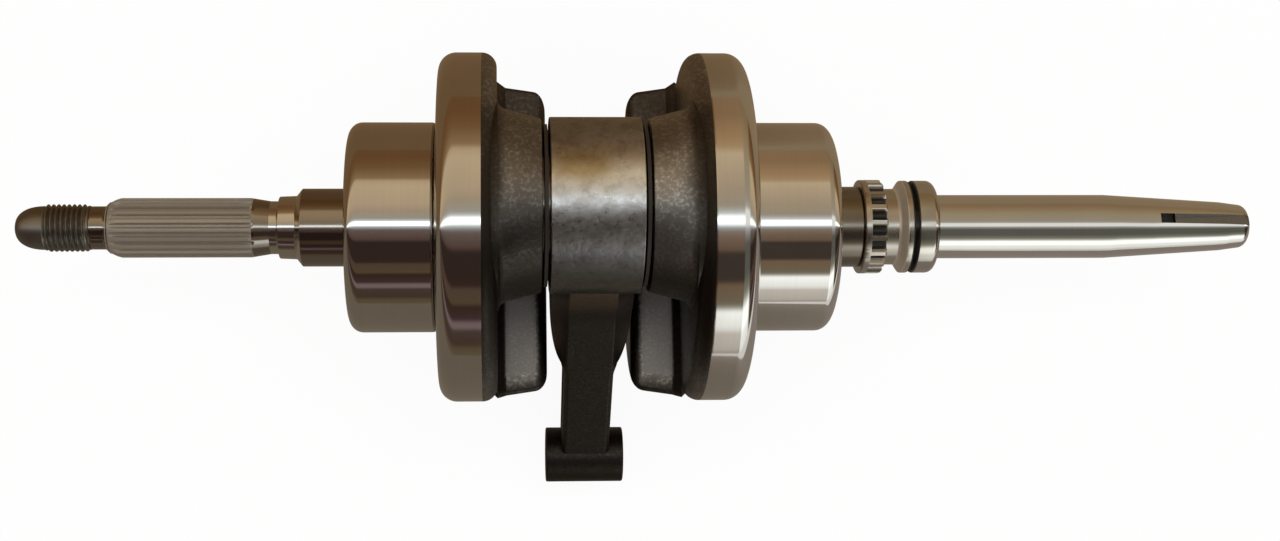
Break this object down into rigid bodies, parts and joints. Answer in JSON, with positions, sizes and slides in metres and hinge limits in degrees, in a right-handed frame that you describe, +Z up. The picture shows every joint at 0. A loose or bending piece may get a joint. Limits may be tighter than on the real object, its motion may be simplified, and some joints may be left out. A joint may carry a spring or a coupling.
{
  "type": "crankshaft",
  "caption": "Pressed-up crankshaft of a small single-cylinder engine, with connecting rod, main ball bearings, timing sprocket, splined drive end and tapered flywheel end.",
  "frame": {"origin": "on the crank axis, at the middle of the left main bearing", "axes": "+X along the crank axis from the belt-drive end to the flywheel end, +Z up with the webs and the rod's small end resting on a level, -Y towards the rod's small end"},
  "size_m": [0.3665, 0.132, 0.103],
  "materials": {
    "crank_steel": "dark forged webs with ground rims and shafts",
    "rod_steel": "dark forged shank, satin big end with heat stain",
    "ring_steel": "mirror ground",
    "bearing_steel": "polished",
    "cage_steel": "satin",
    "cage_brass": "turned",
    "washer_bronze": "satin",
    "sprocket_steel": "machined, brown oil film",
    "collar_steel": "ground"
  },
  "bodies": {
    "crank": {"left_crank_half": "crank_steel", "right_crank_half": "crank_steel", "crankpin": "bearing_steel", "crankpin_plugs": "bearing_steel", "left_thrust_washer": "washer_bronze", "right_thrust_washer": "washer_bronze", "left_bearing_inner_ring": "ring_steel", "right_bearing_inner_ring": "ring_steel", "timing_sprocket": "sprocket_steel", "seal_collar": "collar_steel"},
    "rod": {"connecting_rod": "rod_steel"},
    "big_end_needles": {"big_end_cage": "cage_steel", "big_end_rollers": "bearing_steel"},
    "left_outer_ring": {"left_bearing_outer_ring": "ring_steel"},
    "left_ball_set": {"left_bearing_outboard_balls": "bearing_steel", "left_bearing_inboard_balls": "bearing_steel", "left_bearing_outboard_cage": "cage_brass", "left_bearing_inboard_cage": "cage_brass"},
    "right_outer_ring": {"right_bearing_outer_ring": "ring_steel"},
    "right_ball_set": {"right_bearing_outboard_balls": "bearing_steel", "right_bearing_inboard_balls": "bearing_steel", "right_bearing_outboard_cage": "cage_brass", "right_bearing_inboard_cage": "cage_brass"}
  },
  "joints": [
    {"name": "rod_swing", "type": "hinge", "parent": "crank", "child": "rod", "pos_m": [0.0581, 0.00551, 0.02592], "axis": [1, 0, 0], "continuous": true},
    {"name": "needles_roll", "type": "hinge", "parent": "crank", "child": "big_end_needles", "pos_m": [0.0581, 0.00551, 0.02592], "axis": [1, 0, 0], "continuous": true},
    {"name": "left_ring_spin", "type": "hinge", "parent": "crank", "child": "left_outer_ring", "pos_m": [0, 0, 0], "axis": [1, 0, 0], "continuous": true},
    {"name": "left_balls_roll", "type": "hinge", "parent": "crank", "child": "left_ball_set", "pos_m": [0, 0, 0], "axis": [1, 0, 0], "continuous": true},
    {"name": "right_ring_spin", "type": "hinge", "parent": "crank", "child": "right_outer_ring", "pos_m": [0.1162, 0, 0], "axis": [1, 0, 0], "continuous": true},
    {"name": "right_balls_roll", "type": "hinge", "parent": "crank", "child": "right_ball_set", "pos_m": [0.1162, 0, 0], "axis": [1, 0, 0], "continuous": true}
  ],
  "couplings": [
    {"joint": "needles_roll", "follows": "rod_swing", "ratio": 0.56305},
    {"joint": "left_balls_roll", "follows": "left_ring_spin", "ratio": 0.60345},
    {"joint": "right_balls_roll", "follows": "right_ring_spin", "ratio": 0.60345}
  ]
}
